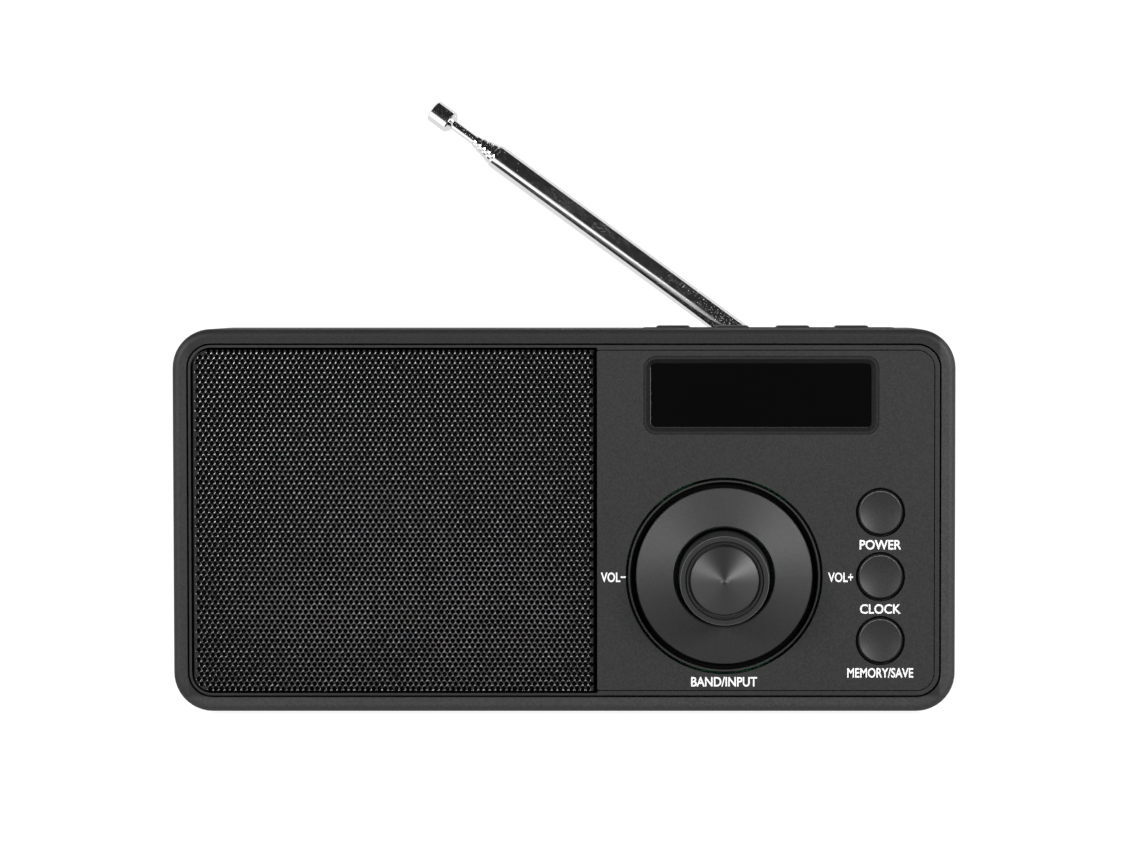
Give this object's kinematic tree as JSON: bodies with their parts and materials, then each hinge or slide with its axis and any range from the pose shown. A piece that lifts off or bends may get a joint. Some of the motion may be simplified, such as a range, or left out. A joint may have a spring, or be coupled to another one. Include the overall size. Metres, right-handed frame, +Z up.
{
  "type": "tabletop radio",
  "caption": "Compact tabletop radio with a perforated speaker grille, display window, rocker ring round a tuning knob, side buttons and a folding telescopic antenna.",
  "frame": {"origin": "on the table, below the middle of the whole radio's box, with the antenna as it stands", "axes": "+Z up, front facing -Y, +X to the right seen from the front"},
  "size_m": [0.18, 0.0766, 0.1443],
  "materials": {
    "case_soft_touch": "rubberised soft-touch paint, very fine grain",
    "panel_plastic": "fine spark-eroded texture, satin matte",
    "grille_black": "satin black powder coat on perforated steel",
    "bezel_black": "smooth satin black",
    "display_gloss": "polished black window",
    "dial_plastic": "fine satin moulding",
    "button_plastic": "smooth satin moulding",
    "spun_metal": "black anodised, turned with circular tool marks",
    "chrome_plate": "bright chrome plate",
    "rubber_pad": "matte rubber",
    "zinc_steel": "zinc plated",
    "black_steel": "black stamped steel",
    "ferrite": "dark ground ferrite",
    "cone_paper": "pressed black paper pulp",
    "coil_copper": "enamelled copper winding",
    "circuit_board": "green solder mask",
    "component_black": "moulded component bodies",
    "jack_black": "moulded black nylon",
    "cell_wrap": "shrink wrap",
    "wire_insulation": "coloured insulation",
    "screen_black": "fine woven black nylon",
    "inner_plastic": "plain moulding"
  },
  "bodies": {
    "case": {"front_case": "case_soft_touch", "rear_cover": "case_soft_touch", "front_baffle": "panel_plastic", "control_panel": "panel_plastic", "speaker_grille": "grille_black", "dust_screen": "screen_black", "display_bezel": "bezel_black", "display_lens": "display_gloss", "lcd_module": "component_black", "feet": "rubber_pad", "case_screws": "zinc_steel", "speaker_basket": "black_steel", "speaker_surround": "rubber_pad", "speaker_magnet": "ferrite", "speaker_yoke": "zinc_steel", "speaker_terminals": "component_black", "inner_screws": "zinc_steel", "ring_mount": "inner_plastic", "mount_pivot_pins": "zinc_steel", "encoder_body": "zinc_steel", "front_key_board": "circuit_board", "top_key_plate": "case_soft_touch", "top_key_board": "circuit_board", "tact_switches": "component_black", "main_board": "circuit_board", "board_pillars": "inner_plastic", "board_components": "component_black", "headphone_jack": "jack_black", "usb_socket": "zinc_steel", "battery_cell": "cell_wrap", "battery_holder": "inner_plastic", "wiring": "wire_insulation", "antenna_bracket": "inner_plastic", "antenna_screw": "zinc_steel"},
    "cone_assembly": {"speaker_cone": "cone_paper", "speaker_dust_cap": "cone_paper", "speaker_voice_coil": "coil_copper"},
    "ring_carrier": {"ring_carrier": "inner_plastic"},
    "selector_ring": {"selector_ring": "dial_plastic", "ring_pivot_pins": "zinc_steel"},
    "knob_plunger": {"encoder_collar": "inner_plastic"},
    "tuning_knob": {"encoder_shaft": "zinc_steel", "tuning_knob": "dial_plastic", "knob_cap": "spun_metal"},
    "power_button": {"power_button": "button_plastic"},
    "clock_button": {"clock_button": "button_plastic"},
    "memory_button": {"memory_button": "button_plastic"},
    "top_key_1": {"top_key_1": "button_plastic"},
    "top_key_2": {"top_key_2": "button_plastic"},
    "top_key_3": {"top_key_3": "button_plastic"},
    "top_key_4": {"top_key_4": "button_plastic"},
    "antenna_swivel": {"antenna_swivel": "chrome_plate", "antenna_pin": "zinc_steel"},
    "mast_1": {"antenna_section_1": "chrome_plate"},
    "mast_2": {"antenna_section_2": "chrome_plate"},
    "mast_3": {"antenna_section_3": "chrome_plate"},
    "mast_4": {"antenna_section_4": "chrome_plate"},
    "mast_5": {"antenna_section_5": "chrome_plate"},
    "mast_tip": {"antenna_rod": "chrome_plate", "antenna_cap": "chrome_plate"}
  },
  "joints": [
    {"name": "cone_travel", "type": "slide", "parent": "case", "child": "cone_assembly", "axis": [0, -1, 0], "range_m": [-0.0008, 0.0008], "stiffness_N_per_m": 1500, "deforming": ["speaker_surround"]},
    {"name": "ring_side_tilt", "type": "hinge", "parent": "case", "child": "ring_carrier", "pos_m": [0.0368, -0.0194, 0.0323], "axis": [0, 0, 1], "range_deg": [-2, 2], "stiffness_Nm_per_rad": 2},
    {"name": "ring_up_tilt", "type": "hinge", "parent": "ring_carrier", "child": "selector_ring", "pos_m": [0.0368, -0.0194, 0.0323], "axis": [1, 0, 0], "range_deg": [-2, 2], "stiffness_Nm_per_rad": 2},
    {"name": "knob_press", "type": "slide", "parent": "case", "child": "knob_plunger", "axis": [0, 1, 0], "range_m": [0, 0.0005], "stiffness_N_per_m": 3000},
    {"name": "knob_turn", "type": "hinge", "parent": "knob_plunger", "child": "tuning_knob", "pos_m": [0.0368, -0.015, 0.0323], "axis": [0, -1, 0], "continuous": true},
    {"name": "power_press", "type": "slide", "parent": "case", "child": "power_button", "axis": [0, 1, 0], "range_m": [0, 0.0008], "stiffness_N_per_m": 600},
    {"name": "clock_press", "type": "slide", "parent": "case", "child": "clock_button", "axis": [0, 1, 0], "range_m": [0, 0.0008], "stiffness_N_per_m": 600},
    {"name": "memory_press", "type": "slide", "parent": "case", "child": "memory_button", "axis": [0, 1, 0], "range_m": [0, 0.0008], "stiffness_N_per_m": 600},
    {"name": "top_key_1_press", "type": "slide", "parent": "case", "child": "top_key_1", "axis": [0, 0, -1], "range_m": [0, 0.0008], "stiffness_N_per_m": 600},
    {"name": "top_key_2_press", "type": "slide", "parent": "case", "child": "top_key_2", "axis": [0, 0, -1], "range_m": [0, 0.0008], "stiffness_N_per_m": 600},
    {"name": "top_key_3_press", "type": "slide", "parent": "case", "child": "top_key_3", "axis": [0, 0, -1], "range_m": [0, 0.0008], "stiffness_N_per_m": 600},
    {"name": "top_key_4_press", "type": "slide", "parent": "case", "child": "top_key_4", "axis": [0, 0, -1], "range_m": [0, 0.0008], "stiffness_N_per_m": 600},
    {"name": "antenna_swivel_turn", "type": "hinge", "parent": "case", "child": "antenna_swivel", "pos_m": [0.0451, 0.019, 0.0841], "axis": [0, 1, 0], "range_deg": [-36.3, 133]},
    {"name": "antenna_tilt", "type": "hinge", "parent": "antenna_swivel", "child": "mast_1", "pos_m": [0.0451, 0.019, 0.0841], "axis": [-0.592, 0, -0.8059], "range_deg": [-9.6, 80]},
    {"name": "mast_slide_1", "type": "slide", "parent": "mast_1", "child": "mast_2", "axis": [-0.7946, 0.1668, 0.5837], "range_m": [0, 0.063]},
    {"name": "mast_slide_2", "type": "slide", "parent": "mast_2", "child": "mast_3", "axis": [-0.7946, 0.1668, 0.5837], "range_m": [0, 0.063]},
    {"name": "mast_slide_3", "type": "slide", "parent": "mast_3", "child": "mast_4", "axis": [-0.7946, 0.1668, 0.5837], "range_m": [0, 0.063]},
    {"name": "mast_slide_4", "type": "slide", "parent": "mast_4", "child": "mast_5", "axis": [-0.7946, 0.1668, 0.5837], "range_m": [0, 0.063]},
    {"name": "mast_slide_5", "type": "slide", "parent": "mast_5", "child": "mast_tip", "axis": [-0.7946, 0.1668, 0.5837], "range_m": [0, 0.063]}
  ]
}
